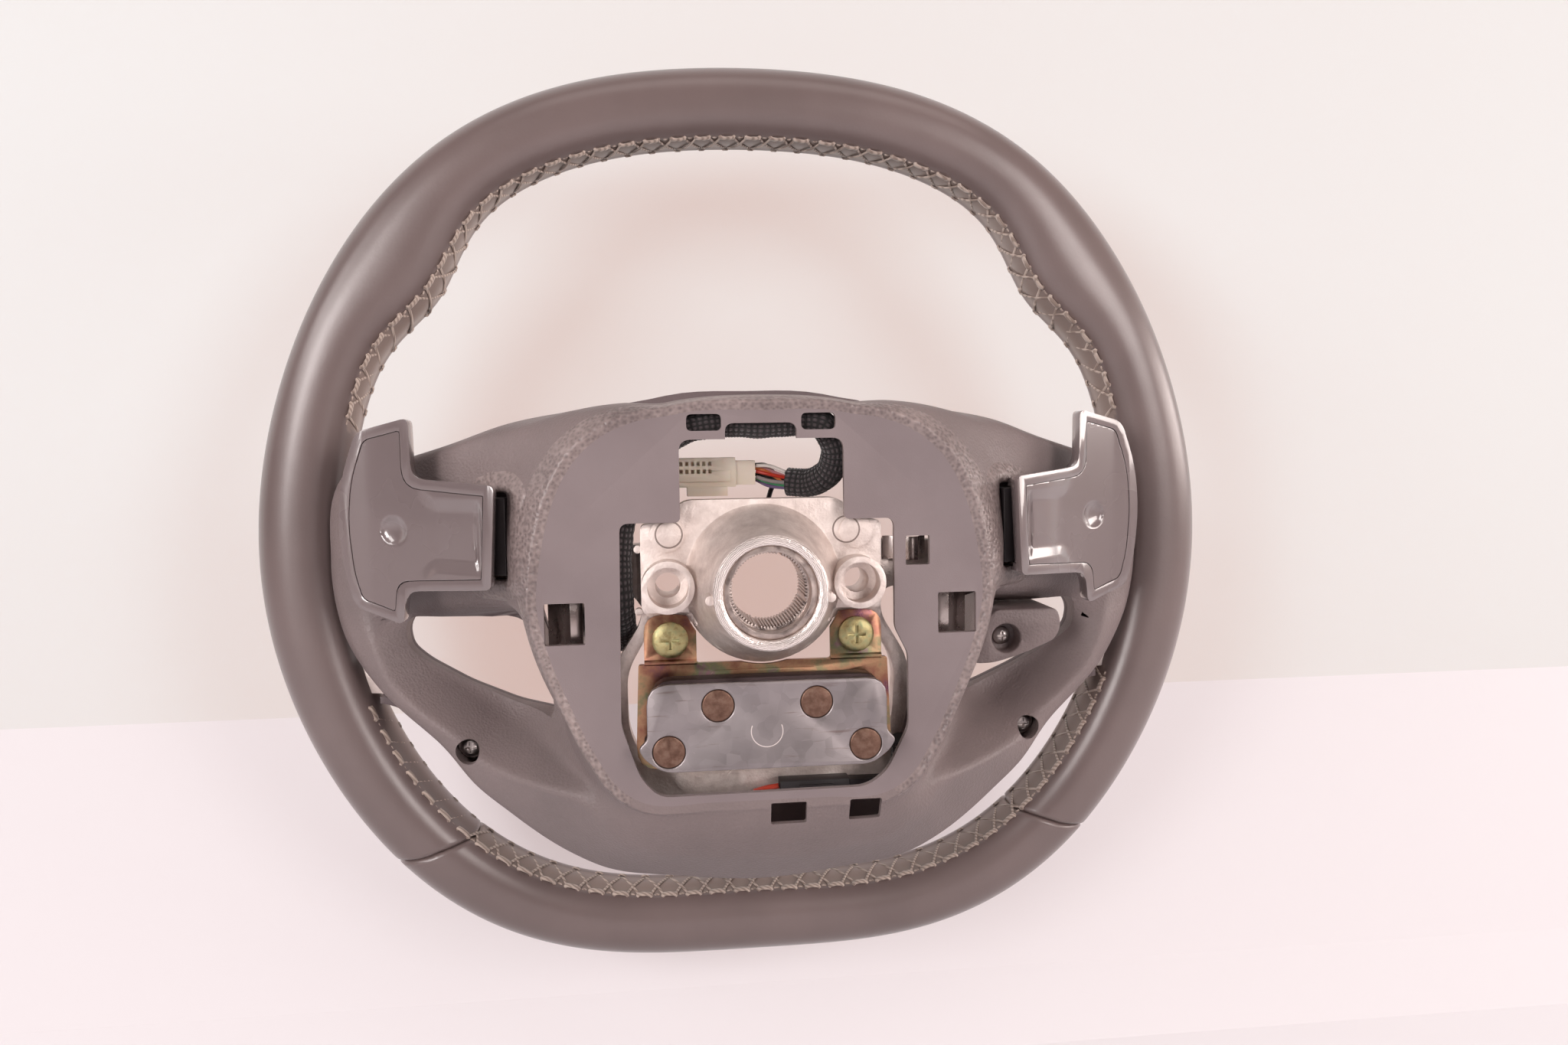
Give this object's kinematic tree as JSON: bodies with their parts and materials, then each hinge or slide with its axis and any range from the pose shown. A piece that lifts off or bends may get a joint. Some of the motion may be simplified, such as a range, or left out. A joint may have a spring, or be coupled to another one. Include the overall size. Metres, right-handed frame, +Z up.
{
  "type": "car steering wheel",
  "caption": "Leather-rimmed car steering wheel with a cast spoke armature, splined hub sleeve, moulded rear cover, shift paddles, switch blocks, damper and wiring.",
  "frame": {"origin": "on the steering shaft axis, inside the smooth pilot of the splined hub sleeve", "axes": "+X to the right seen from the column side, +Y along the shaft from the column towards the driver, +Z up with the wheel straight"},
  "size_m": [0.3678, 0.118, 0.3466],
  "materials": {
    "rim_leather": "smooth satin",
    "cover_plastic": "moulded grain",
    "trim_plastic": "satin",
    "button_plastic": "satin",
    "paddle_plastic": "gloss",
    "black_plastic": "satin",
    "cast_metal": "as cast",
    "sleeve_steel": "turned and broached",
    "zinc_plate": "galvanised",
    "damper_iron": "raw",
    "bush_rubber": "matte",
    "rivet_steel": "brown",
    "chromate_steel": "yellow chromate",
    "chromate_screw": "yellow chromate",
    "screw_steel": "zinc",
    "spring_steel": "bright",
    "cloth_tape": "woven",
    "wire_red": "smooth",
    "wire_black": "smooth",
    "nylon_white": "smooth"
  },
  "bodies": {
    "wheel": {"armature": "cast_metal", "hub_insert": "sleeve_steel", "grip_upper": "rim_leather", "grip_lower": "rim_leather", "back_cover": "cover_plastic", "front_trim": "trim_plastic", "trim_screws": "screw_steel", "switch_left": "trim_plastic", "switch_right": "trim_plastic", "paddle_left_base": "black_plastic", "paddle_left_pin": "screw_steel", "paddle_right_base": "black_plastic", "paddle_right_pin": "screw_steel", "pod_housing": "cover_plastic", "pod_face": "trim_plastic", "pod_rear_screw": "screw_steel", "damper_plate": "zinc_plate", "damper_weight": "damper_iron", "damper_bushes": "bush_rubber", "damper_rivets": "rivet_steel", "damper_bracket": "chromate_steel", "bracket_screws": "chromate_screw", "latch_springs": "spring_steel", "small_latch": "spring_steel", "harness_tape": "cloth_tape", "harness_lower": "cloth_tape", "signal_wires": "wire_red", "ground_wire": "wire_black", "connector_white": "nylon_white", "connector_black": "black_plastic", "red_wire": "wire_red"},
    "paddle_left": {"paddle_left_frame": "paddle_plastic", "paddle_left_face": "paddle_plastic"},
    "paddle_right": {"paddle_right_frame": "paddle_plastic", "paddle_right_face": "paddle_plastic"},
    "cap_left_upper": {"cap_left_upper": "button_plastic"},
    "cap_left_lower": {"cap_left_lower": "button_plastic"},
    "cap_right_upper": {"cap_right_upper": "button_plastic"},
    "cap_right_lower": {"cap_right_lower": "button_plastic"},
    "rocker_left": {"rocker_left": "button_plastic"},
    "rocker_right": {"rocker_right": "button_plastic"},
    "pod_button": {"pod_button": "button_plastic"}
  },
  "joints": [
    {"name": "paddle_left_pull", "type": "hinge", "parent": "wheel", "child": "paddle_left", "pos_m": [-0.0915, 0.0365, 0.017], "axis": [0, 0, -1], "range_deg": [0, 4], "stiffness_Nm_per_rad": 3},
    {"name": "paddle_right_pull", "type": "hinge", "parent": "wheel", "child": "paddle_right", "pos_m": [0.0915, 0.0365, 0.017], "axis": [0, 0, 1], "range_deg": [0, 4], "stiffness_Nm_per_rad": 3},
    {"name": "cap_left_upper_press", "type": "slide", "parent": "wheel", "child": "cap_left_upper", "axis": [0, -1, 0], "range_m": [0, 0.001], "stiffness_N_per_m": 800},
    {"name": "cap_left_lower_press", "type": "slide", "parent": "wheel", "child": "cap_left_lower", "axis": [0, -1, 0], "range_m": [0, 0.001], "stiffness_N_per_m": 800},
    {"name": "cap_right_upper_press", "type": "slide", "parent": "wheel", "child": "cap_right_upper", "axis": [0, -1, 0], "range_m": [0, 0.001], "stiffness_N_per_m": 800},
    {"name": "cap_right_lower_press", "type": "slide", "parent": "wheel", "child": "cap_right_lower", "axis": [0, -1, 0], "range_m": [0, 0.001], "stiffness_N_per_m": 800},
    {"name": "rocker_left_tilt", "type": "hinge", "parent": "wheel", "child": "rocker_left", "pos_m": [-0.1125, 0.0874, 0.015], "axis": [1, 0, 0], "range_deg": [-4, 4], "stiffness_Nm_per_rad": 0.6},
    {"name": "rocker_right_tilt", "type": "hinge", "parent": "wheel", "child": "rocker_right", "pos_m": [0.1125, 0.0874, 0.015], "axis": [1, 0, 0], "range_deg": [-4, 4], "stiffness_Nm_per_rad": 0.6},
    {"name": "pod_button_press", "type": "slide", "parent": "wheel", "child": "pod_button", "axis": [0, -1, 0], "range_m": [0, 0.001], "stiffness_N_per_m": 800}
  ]
}
